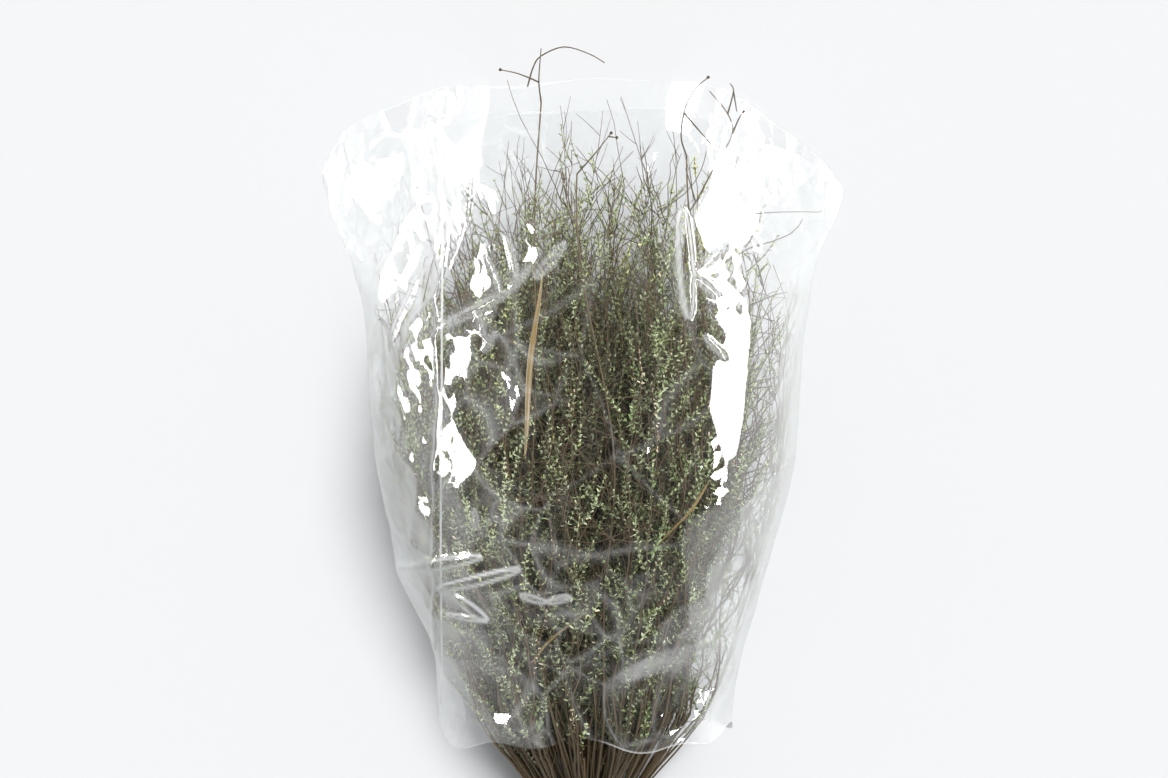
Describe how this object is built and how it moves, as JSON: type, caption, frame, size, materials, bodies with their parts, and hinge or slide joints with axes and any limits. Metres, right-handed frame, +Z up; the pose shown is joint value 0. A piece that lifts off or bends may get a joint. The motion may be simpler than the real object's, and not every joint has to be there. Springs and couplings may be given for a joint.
{
  "type": "thyme bundle",
  "caption": "Bundle of cut thyme lying on its side, tied round its bare stems and wrapped in an open-ended clear film sleeve.",
  "frame": {"origin": "on the surface that the bundle lies on, under the middle of its box", "axes": "+Y along the bundle from the cut ends to the shoot tips, +Z up, +X across the bundle"},
  "size_m": [0.466, 0.812, 0.2921],
  "materials": {
    "thyme": "matt, dusty grey-green leaves on brown stems",
    "dry_twig": "dry reddish-brown bark",
    "straw": "dry, slightly glossy grass blade",
    "elastic": "natural elastic band",
    "film": "clear, crinkled, glossy film"
  },
  "bodies": {
    "root": {"sprig_01": "thyme", "sprig_02": "thyme", "sprig_03": "thyme", "sprig_04": "thyme", "sprig_05": "thyme", "sprig_06": "thyme", "sprig_07": "thyme", "sprig_08": "thyme", "sprig_09": "thyme", "sprig_10": "thyme", "sprig_11": "thyme", "sprig_12": "thyme", "sprig_13": "thyme", "sprig_14": "thyme", "sprig_15": "thyme", "sprig_16": "thyme", "sprig_17": "thyme", "sprig_18": "thyme", "sprig_19": "thyme", "sprig_20": "thyme", "sprig_21": "thyme", "sprig_22": "thyme", "sprig_23": "thyme", "sprig_24": "thyme", "sprig_25": "thyme", "sprig_26": "thyme", "sprig_27": "thyme", "sprig_28": "thyme", "sprig_29": "thyme", "sprig_30": "thyme", "sprig_31": "thyme", "sprig_32": "thyme", "sprig_33": "thyme", "sprig_34": "thyme", "sprig_35": "thyme", "sprig_36": "thyme", "sprig_37": "thyme", "sprig_38": "thyme", "sprig_39": "thyme", "sprig_40": "thyme", "sprig_41": "thyme", "sprig_42": "thyme", "sprig_43": "thyme", "sprig_44": "thyme", "sprig_45": "thyme", "sprig_46": "thyme", "dry_twig_1": "dry_twig", "dry_twig_2": "dry_twig", "dry_twig_3": "dry_twig", "dry_twig_4": "dry_twig", "straw_blade_1": "straw", "straw_blade_2": "straw", "straw_blade_3": "straw", "elastic_tie": "elastic", "film_sleeve": "film"}
  },
  "joints": []
}
